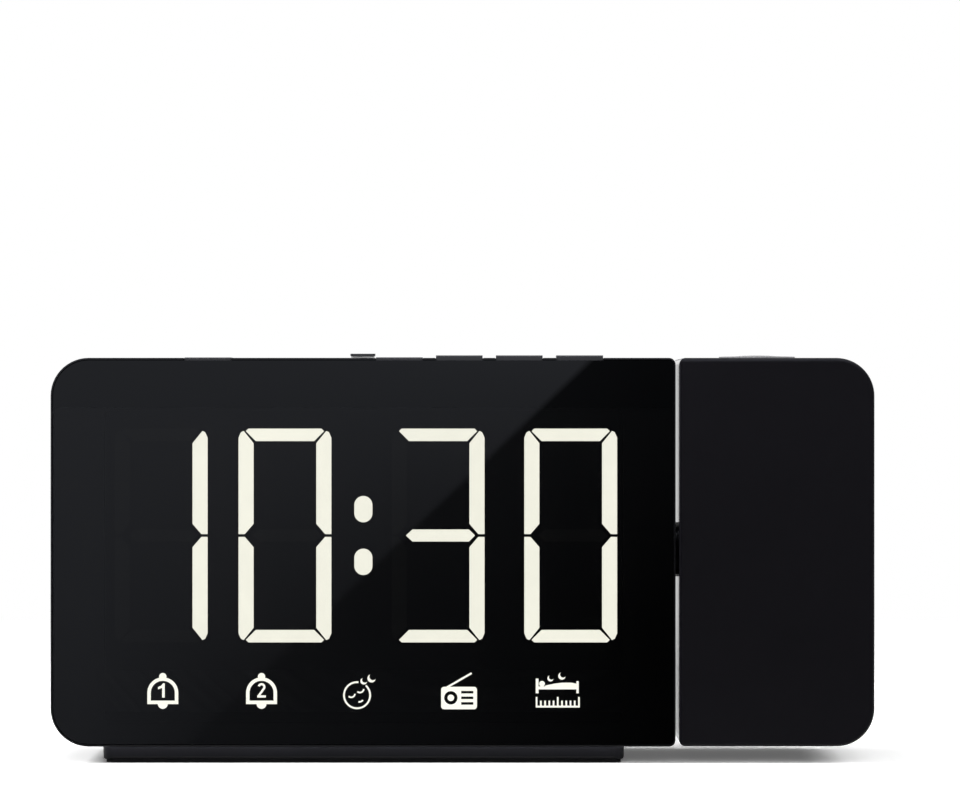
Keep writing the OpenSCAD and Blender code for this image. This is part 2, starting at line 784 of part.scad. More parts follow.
module dimmer_switch() color([0.6, 0.6, 0.6])
    difference() {
        box([dimmer_at[0] - 7, dimmer_at[1] - 2.6, switch_z],
            [dimmer_at[0] + 7, dimmer_at[1] + 2.6, top_in - 1.7]);
        from_above(switch_z + 2, 6) translate(dimmer_at) square(dimmer_slot, center = true);
    }

module dimmer_slider() color([0.62, 0.62, 0.61])
    from_above(switch_z + 2.3, case_z1 + dimmer_stem_proud - switch_z - 2.3)
        translate(dimmer_at) square(dimmer_stem, center = true);

module dimmer_cap() color([0.07, 0.07, 0.075])
    from_above(case_z1 + dimmer_stem_proud, dimmer_cap[2])
        soft_rect_mid(dimmer_at, [dimmer_cap[0], dimmer_cap[1]], 0.6);

// ---- Hinge ----

// Hollow shaft: it turns in the body's bearing, and its square plate is held in the head
module hinge_tube() color([0.05, 0.05, 0.055])
    difference() {
        union() {
            rod_x(hinge_x0, flange_t, flange_r);
            rod_x(hinge_x0, plate_end_x - hinge_x0, neck_r);
            from_left(plate_x, plate_t) translate([0, axis_z]) square(plate_side, center = true);
            // Stop lug on the inner flange
            from_left(hinge_x0, flange_t) translate([0, axis_z])
                polygon([[-1.6, 7], [1.6, 7], [1.3, lug_r], [-1.3, lug_r]]);
        }
        rod_x(hinge_x0 - 1, plate_end_x - hinge_x0 + 2, tube_r);
    }

module friction_washer() color([0.75, 0.75, 0.74])
    difference() {
        rod_x(bearing_x - washer_t + 0.03, washer_t - 0.06, flange_r - 0.2);
        rod_x(bearing_x - 2, 4, neck_r + 0.1);
    }

// Leads of the projector: one sleeve in the body, one in the head, end to end in the hinge
leads_in_x = hinge_x0 - 14;
leads_split_x = seam_body_x;
module body_leads() color([0.6, 0.1, 0.08]) {
    rod_x(leads_in_x, leads_split_x - leads_in_x, leads_r);
    translate([leads_in_x, 0, axis_z]) sphere(r = leads_r);
    rod_y([leads_in_x, axis_z], 0, main_board_y, leads_r);
}

module head_leads() color([0.6, 0.1, 0.08]) {
    x1 = lens_x;
    rod_x(leads_split_x, x1 - leads_split_x, leads_r);
    translate([x1, 0, axis_z]) sphere(r = leads_r);
    translate([x1, 0, axis_z]) cylinder(r = leads_r, h = tube_z0 - board_t - axis_z);
}

// ---- Projector head ----

// Pocket for the hinge's square plate, one half in each shell
module plate_seat() {
    x0 = seam_head_x + wall - eps;
    pocket = plate_side + 0.1;
    difference() {
        from_left(x0, plate_t + 0.2 + seat_wall) translate([0, axis_z])
            square(pocket + 2 * seat_wall, center = true);
        from_left(x0 - 1, plate_t + 1.2) translate([0, axis_z]) square(pocket, center = true);
        from_left(x0, 6) translate([0, axis_z]) circle(5.5);
    }
}

// Rails that hold the lens tube's flange, above and below it
module tube_rails(y0, y1) {
    rail = 1.2;
    for (z = [tube_z0 - rail - 0.1, tube_z0 + mount_t + 0.1])
        box([lens_x - 13, y0, z], [lens_x + 13, y1, z + rail]);
}

module head_openings() {
    rod_x(seam_head_x - 1, wall + 1.1, neck_r + 0.2);
    rod_lens(top_in - 1, wall + 2, ring_r + 0.15);
}

module head_front_shell() color([0.05, 0.05, 0.055])
    difference() {
        union() {
            front_wall(head_front_r, true);
            front_bosses(head_screws, 1 - case_y);
            slice_y(-case_y, 0) plate_seat();
            tube_rails(-back_in - eps, -9);
            for (z = [22, 33])
                box([seam_head_x + wall - eps, -back_in - eps, z],
                    [case_x - wall + eps, -13, z + 1.2]);
        }
        blind_holes(head_screws);
        head_openings();
    }

module head_rear_shell() color([0.05, 0.05, 0.055])
    difference() {
        union() {
            rear_wall(head_front_r, true);
            rear_bosses(head_screws);
            slice_y(0, case_y) plate_seat();
            tube_rails(9, back_in + eps);
            for (z = [22, 33])
                box([seam_head_x + wall - eps, 13, z],
                    [case_x - wall + eps, back_in + eps, z + 1.2]);
        }
        counterbores(head_screws);
        head_openings();
    }

module head_screws() color([0.5, 0.5, 0.5])
    for (at = head_screws) cross_screw(at, case_screw_y, 1.2, 2.3, case_screw_l);

// Fixed tube over the lamp. Two slots keep the sliding barrel from turning.
module lens_tube() color([0.06, 0.06, 0.06])
    difference() {
        union() {
            rod_lens(tube_z0, tube_z1 - tube_z0, barrel_r + tube_wall);
            from_above(tube_z0, mount_t) soft_rect_mid([lens_x, 0], [mount_side, mount_side], 2);
        }
        rod_lens(slide_z, 20, barrel_r + slip);
        rod_lens(tube_z0 - 1, 12, collar_r);
        rod_lens(tube_z0 - 1, 3.8, 6.6);
        for (side = [-1, 1])
            translate([lens_x + side * (barrel_r + 1) - 2, -guide_w / 2, slide_z + 1])
                cube([4, guide_w, 20]);
        for (x = lamp_screws) translate([lens_x + x, 0, tube_z0 - 1]) cylinder(r = 0.75, h = 4);
    }

module lamp_board() color([0.1, 0.28, 0.14])
    from_above(tube_z0 - board_t, board_t) difference() {
        soft_rect_mid([lens_x, 0], [22, 16], 1);
        for (x = lamp_screws) translate([lens_x + x, 0]) circle(0.9);
    }

module lamp_screws() color([0.7, 0.7, 0.68])
    for (x = lamp_screws) translate([lens_x + x, 0, tube_z0 - board_t]) {
        cylinder(r = 0.7, h = 3.2);
        translate([0, 0, -0.8]) cylinder(r = 1.5, h = 0.8);
    }

module projector_lamp() color([0.75, 0.08, 0.06]) {
    rod_lens(tube_z0, 0.9, 3.8);
    intersection() {
        rod_lens(tube_z0 + 0.9 - eps, 4, 2.6);
        translate([lens_x, 0, tube_z0 + 0.9]) sphere(r = 2.5);
    }
}

// Outline of half a lens for a revolve: flat below or domed below, and domed above
module lens_half(r, edge_z, below_r, above_r) {
    intersection() {
        translate([0, edge_z[0] - 5]) square([r, edge_z[1] - edge_z[0] + 10]);
        translate([0, edge_z[1] - sqrt(above_r * above_r - r * r)]) circle(above_r, $fn = 240);
        if (below_r > 0)
            translate([0, edge_z[0] + sqrt(below_r * below_r - r * r)]) circle(below_r, $fn = 240);
        else translate([0, edge_z[0]]) square([r, 20]);
    }
}

// A thick plano-convex lens over the lamp
module condenser_lens() color([0.85, 0.9, 0.92, 0.5])
    translate([lens_x, 0, tube_z0 + 3.6]) rotate_extrude() lens_half(4.9, [0, 1.2], 0, 6.2);

// The small liquid crystal slide that forms the projected time
module time_slide() color([0.2, 0.22, 0.2, 0.8])
    rod_lens(slide_z + 0.05, 0.9, 6.6);

// The ring that is turned to focus: a milled rim in the case's top and a sleeve below it
module focus_ring() color([0.3, 0.3, 0.32]) {
    notches = 36;
    difference() {
        union() {
            rod_lens(top_in - 0.2, ring_top - top_in + 0.2, ring_r);
            rod_lens(top_in - 1.4, 1.3, ring_r + 1.4);
            rod_lens(tube_z1 + 0.5, 10, barrel_r + 1.5);
        }
        rod_lens(tube_z1, 20, barrel_r + slip);
        rod_lens(ring_top - lens_seat, 3, ring_r - 1);
        for (i = [0 : notches - 1])
            translate([lens_x, 0, case_z1 + 0.05]) rotate([0, 0, i * 360 / notches])
                translate([ring_r + 0.25, 0, 0]) cylinder(r = 0.45, h = 2);
    }
}

// The clear front lens, a low dome seated in the ring
module front_lens() color([0.75, 0.78, 0.8, 0.5]) {
    r = ring_r - 1.05;
    edge_t = 0.9;
    rise = case_z1 + lens_rise - (ring_top - lens_seat) - edge_t;
    translate([lens_x, 0, ring_top - lens_seat]) rotate_extrude()
        lens_half(r, [0, edge_t], 0, (r * r + rise * rise) / (2 * rise));
}

// Sliding tube with the projection lens; its two keys run in the fixed tube's slots
module lens_barrel() color([0.1, 0.1, 0.1])
    difference() {
        union() {
            rod_lens(barrel_z, barrel_l, barrel_r);
            for (side = [-1, 1])
                translate([lens_x + side * (barrel_r + 0.1) - 1.1, 0.1 - guide_w / 2, barrel_z])
                    cube([2.2, guide_w - 0.2, 4.5]);
        }
        rod_lens(barrel_z - 1, barrel_l, 5.2);
        rod_lens(barrel_z + 3.5, barrel_l, 5.9);
    }

// A double convex lens inside the barrel
module projection_lens() color([0.85, 0.9, 0.92, 0.5])
    translate([lens_x, 0, barrel_z + 4.8]) rotate_extrude() lens_half(5.85, [0, 1.6], 14, 14);

// ---- Nodes ----

front_housing();
rear_housing();
front_panel();
icon_film();
display_reflector();
lit_segments();
unlit_segments();
icon_diffusers();
display_board();
display_leds();
display_ribbon();
main_board();
main_board_parts();
board_screws();
key_board();
key_switches();
dimmer_switch();
speaker_frame();
speaker_cone();
speaker_magnet();
dc_jack();
usb_socket();
antenna_grommet();
coin_cell();
cell_contacts();
foot();
foot_sole();
foot_screws();
case_screws();
body_leads();
battery_door();
dimmer_slider();
dimmer_cap();
for (i = [0 : 4]) key(i);
hinge_tube();
friction_washer();
head_front_shell();
head_rear_shell();
head_screws();
lens_tube();
lamp_board();
lamp_screws();
projector_lamp();
condenser_lens();
time_slide();
head_leads();
focus_ring();
front_lens();
lens_barrel();
projection_lens();
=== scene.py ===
"""Looks of a projection alarm clock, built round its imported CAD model. Metres, +Z up."""

import json
import math

import bmesh
import bpy
from mathutils import Matrix, Vector


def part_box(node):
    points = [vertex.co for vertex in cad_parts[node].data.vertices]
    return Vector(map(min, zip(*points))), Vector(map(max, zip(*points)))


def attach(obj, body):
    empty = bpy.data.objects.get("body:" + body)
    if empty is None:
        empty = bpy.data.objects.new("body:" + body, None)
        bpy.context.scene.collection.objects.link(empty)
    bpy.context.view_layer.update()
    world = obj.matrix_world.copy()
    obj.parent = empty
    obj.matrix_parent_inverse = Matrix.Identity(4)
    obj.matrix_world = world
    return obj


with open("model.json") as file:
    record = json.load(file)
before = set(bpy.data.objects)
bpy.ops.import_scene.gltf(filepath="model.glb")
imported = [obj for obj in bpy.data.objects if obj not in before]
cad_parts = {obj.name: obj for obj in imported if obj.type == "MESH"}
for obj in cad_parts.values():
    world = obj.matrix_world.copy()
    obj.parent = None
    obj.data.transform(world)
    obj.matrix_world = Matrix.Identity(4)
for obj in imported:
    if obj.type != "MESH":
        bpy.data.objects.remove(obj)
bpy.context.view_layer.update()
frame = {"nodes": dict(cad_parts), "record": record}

MM = 0.001
scene = bpy.context.scene
scene.view_settings.view_transform = "Standard"

# Places that the looks depend on, from the frame
case_lo, case_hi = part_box("front_housing")
panel_lo, panel_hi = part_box("front_panel")
film_lo, film_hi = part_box("icon_film")
display_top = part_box("display_reflector")[1].z
head_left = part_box("head_front_shell")[0].x
front_y = panel_lo.y

# The row of five signs, whose middle lies a little to the left of the body's
icon_mid_x = (case_lo.x + case_hi.x) / 2 - 0.7 * MM
icon_z = (film_lo.z + film_hi.z) / 2
icon_pitch = 22.85 * MM


# ---- Camera ----

# One millimetre at the clock's front is 4.33 pixels of the 960 pixel wide photograph
PHOTO_WIDTH = 960
PIXELS_PER_MM = 4.33
SENSOR_WIDTH = 36
CAMERA_DISTANCE = 0.896
CAMERA_X = 0.004
CAMERA_Z = 0.0835


def make_camera():
    """Looks straight at the front, with the photograph's field of view."""
    data = bpy.data.cameras.new("camera")
    data.sensor_width = SENSOR_WIDTH
    data.sensor_fit = "HORIZONTAL"
    view_width = PHOTO_WIDTH / PIXELS_PER_MM * MM
    data.lens = SENSOR_WIDTH * CAMERA_DISTANCE / view_width
    camera = bpy.data.objects.new("camera", data)
    camera.location = (CAMERA_X, front_y - CAMERA_DISTANCE, CAMERA_Z)
    camera.rotation_euler = (math.pi / 2, 0, 0)
    scene.collection.objects.link(camera)
    scene.camera = camera


# ---- Node helpers ----

# A noise mostly keeps to this part of its range
NOISE_LO, NOISE_HI = 0.3, 0.7

# Sockets of a mix node that blends colours
MIX_FACTOR, MIX_A, MIX_B, MIX_RESULT = 0, 6, 7, 2


class Nodes:
    """The node tree of one material or world, with short calls for what is used here."""

    def __init__(self, owner, keep=False):
        owner.use_nodes = True
        self.tree = owner.node_tree
        if not keep:
            self.tree.nodes.clear()

    def add(self, kind, **settings):
        node = self.tree.nodes.new(kind)
        for name, value in settings.items():
            setattr(node, name, value)
        return node

    def link(self, source, target):
        self.tree.links.new(source, target)

    def place(self):
        """Object coordinates, which for the CAD nodes are metres in the row frame."""
        return self.add("ShaderNodeTexCoord").outputs["Object"]

    def axes(self):
        """X, Y and Z of a point of the surface, in metres in the row frame."""
        node = self.add("ShaderNodeSeparateXYZ")
        self.link(self.place(), node.inputs[0])
        return node.outputs

    def noise(self, scale, detail=3.0, roughness=0.55, vector=None):
        node = self.add("ShaderNodeTexNoise")
        node.inputs["Scale"].default_value = scale
        node.inputs["Detail"].default_value = detail
        node.inputs["Roughness"].default_value = roughness
        self.link(vector or self.place(), node.inputs["Vector"])
        return node.outputs["Fac"]

    def math(self, operation, a, b=None):
        """A sum, product or other operation on numbers or sockets."""
        node = self.add("ShaderNodeMath", operation=operation)
        for socket, value in zip(node.inputs, (a, b)):
            if value is None:
                continue
            if isinstance(value, (int, float)):
                socket.default_value = value
            else:
                self.link(value, socket)
        return node.outputs[0]

    def map(self, value, lo, hi, to_lo, to_hi):
        """The value carried from one range to another, and kept inside it."""
        node = self.add("ShaderNodeMapRange")
        self.link(value, node.inputs["Value"])
        for name, number in zip(("From Min", "From Max", "To Min", "To Max"), (lo, hi, to_lo, to_hi)):
            node.inputs[name].default_value = number
        return node.outputs["Result"]

    def vary(self, noise, low, high):
        """A value that a noise moves between two."""
        return self.map(noise, NOISE_LO, NOISE_HI, low, high)

    def tint(self, noise, low, high, start=NOISE_LO):
        """A colour that a noise moves between two."""
        node = self.add("ShaderNodeValToRGB")
        for element, position, color in zip(node.color_ramp.elements, (start, NOISE_HI), (low, high)):
            element.position = position
            element.color = (*color, 1)
        self.link(noise, node.inputs["Fac"])
        return node.outputs["Color"]

    def scale(self, color, factor):
        node = self.add("ShaderNodeVectorMath", operation="SCALE")
        self.link(color, node.inputs[0])
        self.link(factor, node.inputs["Scale"])
        return node.outputs[0]

    def bump(self, height, strength, distance):
        node = self.add("ShaderNodeBump")
        node.inputs["Strength"].default_value = strength
        node.inputs["Distance"].default_value = distance
        self.link(height, node.inputs["Height"])
        return node.outputs["Normal"]

    def mix(self, factor, first, second):
        """One shader over another."""
        node = self.add("ShaderNodeMixShader")
        for socket, source in zip(node.inputs, (factor, first, second)):
            self.link(source, socket)
        return node.outputs[0]

    def principled(self):
        return next(node for node in self.tree.nodes if node.type == "BSDF_PRINCIPLED")

    def shader(self, **values):
        node = self.add("ShaderNodeBsdfPrincipled")
        for name, value in values.items():
            node.inputs[name.replace("_", " ")].default_value = value
        self.finish(node.outputs[0])
        return node

    def finish(self, surface, kind="ShaderNodeOutputMaterial"):
        self.link(surface, self.add(kind).inputs["Surface"])


def srgb(r, g, b):
    """A colour given as eight-bit sRGB, in linear light."""
    def linear(c):
        c /= 255
        return c / 12.92 if c <= 0.04045 else ((c + 0.055) / 1.055) ** 2.4
    return (linear(r), linear(g), linear(b))


def scaled(color, factor):
    return tuple(c * factor for c in color)


# ---- Materials ----

SEGMENT = srgb(252, 253, 242)
BRASS = (0.78, 0.62, 0.36)
ACRYLIC_IOR = 1.49

# The smoked sheet tints the signs once, and the segments further back twice
SIGN_GLOW = 1.65
SEGMENT_GLOW = 2.87


def moulded(name, color, roughness, grain=0.35, specular=0.35, spread=0.07):
    """Moulded plastic: an even colour with faint clouding, and a fine spark-eroded grain."""
    material = bpy.data.materials.new(name)
    n = Nodes(material)
    bsdf = n.shader(Specular_IOR_Level=specular)
    n.link(n.tint(n.noise(45, detail=4), scaled(color, 1 - spread), scaled(color, 1 + spread)),
           bsdf.inputs["Base Color"])
    n.link(n.vary(n.noise(160, detail=2), roughness - 0.02, roughness + 0.02), bsdf.inputs["Roughness"])
    n.link(n.bump(n.noise(2600, detail=2, roughness=0.7), grain, 0.04 * MM), bsdf.inputs["Normal"])
    return material


def foot_plastic(name, color):
    """Moulded plastic with painted light: a painted highlight along the top edge, and painted shade
    darkening it towards the floor.
    """
    material = moulded(name, color, 0.36, grain=0.25, specular=0.25)
    n = Nodes(material, keep=True)
    lo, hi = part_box("foot")
    height = n.map(n.axes()["Z"], lo.z, hi.z, 0, 1)
    # Painted shade and light: the colour is scaled darker towards the floor and lighter towards the top
    painted_shade_ramp = n.map(height, 0, 1, 0.2, 2.1)
    # Painted highlight: a bright band along the top edge
    painted_highlight_edge = n.math("MULTIPLY", n.math("POWER", height, 8), 5.5)
    base = n.principled().inputs["Base Color"]
    n.link(n.scale(base.links[0].from_socket, n.math("ADD", painted_shade_ramp, painted_highlight_edge)), base)
    return material


def rubber(name, color):
    """Matt rubber, a little dusty in places."""
    material = bpy.data.materials.new(name)
    n = Nodes(material)
    bsdf = n.shader(Specular_IOR_Level=0.25)
    n.link(n.tint(n.noise(70, detail=5), scaled(color, 0.8), scaled(color, 1.3), start=0.35),
           bsdf.inputs["Base Color"])
    n.link(n.vary(n.noise(300), 0.72, 0.86), bsdf.inputs["Roughness"])
    n.link(n.bump(n.noise(1400, detail=4), 0.4, 0.06 * MM), bsdf.inputs["Normal"])
    return material


def metal(name, color, roughness, brushed=0.0):
    """Metal with a plated skin. brushed stretches its scratches along X."""
    material = bpy.data.materials.new(name)
    n = Nodes(material)
    bsdf = n.shader(Metallic=1.0)
    stretch = n.add("ShaderNodeMapping")
    stretch.inputs["Scale"].default_value = (1 - 0.9 * brushed, 1, 1)
    n.link(n.place(), stretch.inputs["Vector"])
    n.link(n.tint(n.noise(120, detail=5), scaled(color, 0.86), color), bsdf.inputs["Base Color"])
    scratches = n.noise(1800, detail=5, roughness=0.7, vector=stretch.outputs[0])
    n.link(n.vary(scratches, roughness - 0.06, roughness + 0.08), bsdf.inputs["Roughness"])
    n.link(n.bump(scratches, 0.15, 0.03 * MM), bsdf.inputs["Normal"])
    return material


def smoked_acrylic(name):
    """Glossy smoked sheet: what is lit behind it shows through, the rest stays dark. A black
    border is printed on it above the display."""
    material = bpy.data.materials.new(name)
    n = Nodes(material)
    axes = n.axes()
    smoke = n.add("ShaderNodeBsdfTransparent")
    border, border_full = display_top + 0.6 * MM, display_top + 0.8 * MM
    clear = n.map(axes["Z"], border, border_full, 1, 0)
    tint = n.tint(n.noise(18, detail=2), (0.555, 0.55, 0.54), (0.565, 0.56, 0.55))
    n.link(n.scale(tint, clear), smoke.inputs["Color"])
    gloss = n.add("ShaderNodeBsdfGlossy")
    # Handling leaves the faintest haze on the gloss
    n.link(n.map(n.noise(35, detail=6), 0.4, 0.75, 0.01, 0.03), gloss.inputs["Roughness"])
    fresnel = n.add("ShaderNodeFresnel")
    fresnel.inputs["IOR"].default_value = ACRYLIC_IOR
    # The back of the sheet is bonded to the film and leaves no second image
    outside = n.math("LESS_THAN", axes["Y"], (panel_lo.y + panel_hi.y) / 2)
    shine = n.math("MULTIPLY", fresnel.outputs[0], outside)
    n.finish(n.mix(shine, smoke.outputs[0], gloss.outputs[0]))
    return material


def seam_smooth(material, seam_x):
    """Moulded plastic whose end at the gap is left smooth, without the grain."""
    n = Nodes(material, keep=True)
    bsdf = n.principled()
    smooth_to, grain_from, polish = 0.3 * MM, 0.9 * MM, 0.04
    off = n.math("ABSOLUTE", n.math("SUBTRACT", n.axes()["X"], seam_x))
    grained = n.map(off, smooth_to, grain_from, 0, 1)
    rough = bsdf.inputs["Roughness"].links[0].from_socket
    n.link(n.math("MAXIMUM", n.math("MULTIPLY", rough, grained), polish), bsdf.inputs["Roughness"])
    strength = bsdf.inputs["Normal"].links[0].from_node.inputs["Strength"]
    n.link(n.math("MULTIPLY", grained, strength.default_value), strength)
    return material


def inlaid(material, middle, half_w, bottom, top, color, metallic=0.0):
    """The same finish, with another in a rectangle: a contact or a tongue. The middle is a
    place in x and z, and the bottom and the top are measured from it."""
    n = Nodes(material, keep=True)
    bsdf = n.principled()
    axes = n.axes()
    x, z = middle
    inside = n.math("GREATER_THAN", axes["X"], x - half_w)
    for operation, axis, limit in (("LESS_THAN", "X", x + half_w), ("GREATER_THAN", "Z", z + bottom),
                                   ("LESS_THAN", "Z", z + top)):
        inside = n.math("MULTIPLY", inside, n.math(operation, axes[axis], limit))
    blend = n.add("ShaderNodeMix", data_type="RGBA")
    n.link(inside, blend.inputs[MIX_FACTOR])
    n.link(bsdf.inputs["Base Color"].links[0].from_socket, blend.inputs[MIX_A])
    blend.inputs[MIX_B].default_value = (*color, 1)
    n.link(blend.outputs[MIX_RESULT], bsdf.inputs["Base Color"])
    n.link(n.map(inside, 0, 1, bsdf.inputs["Metallic"].default_value, metallic), bsdf.inputs["Metallic"])
    return material


def lit(name, color, strength, edge=0.975):
    """A milky diffuser lit from behind, a little brighter over its chips."""
    material = bpy.data.materials.new(name)
    n = Nodes(material)
    bsdf = n.shader(Roughness=0.6, Emission_Strength=strength)
    glow = n.tint(n.noise(260, detail=1), scaled(color, edge), color)
    n.link(glow, bsdf.inputs["Base Color"])
    n.link(glow, bsdf.inputs["Emission Color"])
    return material


def lens_glass(name, color, roughness=0.02, ior=ACRYLIC_IOR):
    """Clear or tinted glass with the faintest haze."""
    material = bpy.data.materials.new(name)
    n = Nodes(material)
    bsdf = n.shader(IOR=ior, Transmission_Weight=1.0)
    n.link(n.tint(n.noise(90, detail=2), scaled(color, 0.96), color), bsdf.inputs["Base Color"])
    n.link(n.vary(n.noise(400), roughness, roughness + 0.03), bsdf.inputs["Roughness"])
    return material


def circuit_board(name):
    """Green lacquer over copper tracks."""
    material = bpy.data.materials.new(name)
    n = Nodes(material)
    bsdf = n.shader(Roughness=0.35)
    tracks = n.add("ShaderNodeTexBrick")
    for socket, value in (("Scale", 220), ("Mortar Size", 0.012), ("Color1", (0.010, 0.055, 0.018, 1)),
                          ("Color2", (0.008, 0.045, 0.015, 1)), ("Mortar", (0.03, 0.12, 0.04, 1))):
        tracks.inputs[socket].default_value = value
    turn = n.add("ShaderNodeMapping")
    turn.inputs["Rotation"].default_value = (math.pi / 2, 0, 0)
    n.link(n.place(), turn.inputs["Vector"])
    n.link(turn.outputs[0], tracks.inputs["Vector"])
    n.link(tracks.outputs["Color"], bsdf.inputs["Base Color"])
    n.link(n.bump(tracks.outputs["Fac"], 0.3, 0.03 * MM), bsdf.inputs["Normal"])
    return material


MATERIALS = {
    "case_plastic": lambda name: seam_smooth(moulded(name, srgb(19, 19, 21), 0.4), case_hi.x),
    "head_plastic": lambda name: seam_smooth(
        moulded(name, srgb(18, 17, 21), 0.42, grain=0.4, specular=0.25, spread=0.05), head_left),
    "smoked_acrylic": smoked_acrylic,
    "dark_film": lambda name: moulded(name, srgb(9, 9, 10), 0.5, grain=0.05),
    "reflector_plastic": lambda name: moulded(name, srgb(10, 10, 11), 0.5, grain=0.2),
    "lit_diffuser": lambda name: lit(name, SEGMENT, SEGMENT_GLOW),
    "unlit_diffuser": lambda name: moulded(name, srgb(42, 42, 40), 0.5, grain=0.1),
    "board": circuit_board,
    "led_chip": lambda name: moulded(name, srgb(235, 225, 170), 0.25, grain=0.05),
    "flat_cable": lambda name: moulded(name, srgb(205, 205, 198), 0.4, grain=0.1),
    "chip_plastic": lambda name: moulded(name, srgb(28, 28, 29), 0.5),
    "screw_steel": lambda name: metal(name, (0.56, 0.55, 0.53), 0.34),
    "plated_steel": lambda name: metal(name, (0.68, 0.67, 0.65), 0.26, brushed=0.6),
    "cone_paper": lambda name: moulded(name, srgb(34, 33, 34), 0.8, grain=0.8, spread=0.2),
    "magnet": lambda name: metal(name, (0.18, 0.18, 0.18), 0.5),
    "socket_plastic": lambda name: moulded(name, srgb(16, 16, 17), 0.35),
    "contact_brass": lambda name: metal(name, BRASS, 0.3),
    "rubber_black": lambda name: rubber(name, srgb(17, 17, 19)),
    "foot_plastic": lambda name: foot_plastic(name, srgb(30, 30, 34)),
    "key_plastic": lambda name: moulded(name, srgb(62, 62, 65), 0.4),
    "slider_plastic": lambda name: moulded(name, srgb(236, 236, 234), 0.4, grain=0.1),
    "hinge_plastic": lambda name: moulded(name, srgb(22, 22, 24), 0.35, grain=0.15),
    "ring_plastic": lambda name: moulded(name, srgb(168, 168, 171), 0.3, grain=0.15),
    "clear_lens": lambda name: lens_glass(name, (0.93, 0.94, 0.95)),
    "slide_glass": lambda name: lens_glass(name, (0.35, 0.37, 0.35), 0.1, 1.52),
    "red_epoxy": lambda name: lit(name, (1.0, 0.03, 0.012), 6.0, 0.8),
    "lead_sleeve": lambda name: rubber(name, srgb(30, 30, 32)),
}


def face_middle(lo, hi):
    """Middle of a box as seen from the back, in x and z."""
    return ((lo.x + hi.x) / 2, (lo.z + hi.z) / 2)


def jack_with_pin():
    """The power socket: black plastic round a brass centre contact."""
    pin_r = 1.08 * MM
    return inlaid(MATERIALS["socket_plastic"]("dc_jack"), face_middle(*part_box("dc_jack")),
                  pin_r, -pin_r, pin_r, BRASS, 1.0)


def usb_with_tongue():
    """The charging socket: a plated shell round a pale plastic tongue."""
    half_w, bottom, top = 5.8 * MM, 0.05 * MM, 1.95 * MM
    return inlaid(MATERIALS["plated_steel"]("usb_socket"), face_middle(*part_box("usb_socket")),
                  half_w, bottom, top, srgb(214, 212, 204))


def dress_frame():
    """Gives each node its slot's material, or one of its own."""
    made = {slot: make(slot) for slot, make in MATERIALS.items()}
    own = {"dc_jack": jack_with_pin(), "usb_socket": usb_with_tongue(),
           "front_lens": lens_glass("front_lens", (0.2, 0.2, 0.215)),
           # Only the signs in front of them glow, so that no light leaks past the film
           "icon_diffusers": moulded("icon_diffusers", srgb(205, 205, 200), 0.5, grain=0.1)}
    for part in frame["record"]["subparts"]:
        node = frame["nodes"][part["node"]]
        node.data.materials.clear()
        node.data.materials.append(own.get(part["node"]) or made[part["material_slot"]])


# ---- Flat signs behind the panel ----

# They are drawn in millimetres, x to the right and z up, and are 0.1 mm thick
SIGN_T = 0.1


def arc(center, radius, start, end, steps=40):
    """Points along an arc, angles in degrees."""
    points = []
    for i in range(steps + 1):
        a = math.radians(start + (end - start) * i / steps)
        points.append((center[0] + radius * math.cos(a), center[1] + radius * math.sin(a)))
    return points


def disc(center, radius):
    return arc(center, radius, 0, 360)[:-1]


def stroke(path, width):
    """Outline of a line drawn along a path with a pen of that width."""
    longest_mitre = 2.5
    left, right = [], []
    for i, point in enumerate(path):
        before = Vector(path[max(i - 1, 0)])
        after = Vector(path[min(i + 1, len(path) - 1)])
        here = Vector(point)
        step_in = (here - before).normalized() if i else (after - here).normalized()
        step_out = (after - here).normalized() if i < len(path) - 1 else step_in
        mitre = (step_in + step_out).normalized()
        half = width / 2 / max(mitre.dot(step_in), 1 / longest_mitre)
        side = Vector((-mitre.y, mitre.x)) * half
        left.append(tuple(here + side))
        right.append(tuple(here - side))
    return left + right[::-1]


def block(x0, z0, x1, z1, r=0.0):
    """A rectangle, with rounded corners if r is given."""
    if not r:
        return [(x0, z0), (x1, z0), (x1, z1), (x0, z1)]
    centers = [(x1 - r, z1 - r), (x0 + r, z1 - r), (x0 + r, z0 + r), (x1 - r, z0 + r)]
    return [point for i, center in enumerate(centers) for point in arc(center, r, 90 * i, 90 * i + 90, 8)]


def turned(points, degrees, about=(0, 0), shift=(0, 0)):
    """The points turned about one of them or the origin, then shifted."""
    a = math.radians(degrees)
    out = []
    for x, z in points:
        x, z = x - about[0], z - about[1]
        out.append((about[0] + shift[0] + x * math.cos(a) - z * math.sin(a),
                    about[1] + shift[1] + x * math.sin(a) + z * math.cos(a)))
    return out


def final_mesh(obj):
    """Mesh of an object or curve with its modifiers applied."""
    return bpy.data.meshes.new_from_object(obj.evaluated_get(bpy.context.evaluated_depsgraph_get()))


def sign_part(outlines):
    """Flat solid of an outline and the holes in it, as a Blender object in millimetres."""
    curve = bpy.data.curves.new("sign", "CURVE")
    curve.dimensions = "2D"
    curve.fill_mode = "BOTH"
    curve.extrude = SIGN_T / 2
    for outline in outlines:
        spline = curve.splines.new("POLY")
        spline.points.add(len(outline) - 1)
        for point, (x, z) in zip(spline.points, outline):
            point.co = (x, z, 0, 1)
        spline.use_cyclic_u = True
    drawn = bpy.data.objects.new("sign", curve)
    scene.collection.objects.link(drawn)
    mesh = final_mesh(drawn)
    bpy.data.objects.remove(drawn)
    bm = bmesh.new()
    bm.from_mesh(mesh)
    bmesh.ops.remove_doubles(bm, verts=bm.verts, dist=1e-4)
    bmesh.ops.recalc_face_normals(bm, faces=bm.faces)
    bm.to_mesh(mesh)
    bm.free()
    part = bpy.data.objects.new("sign", mesh)
    scene.collection.objects.link(part)
    return part


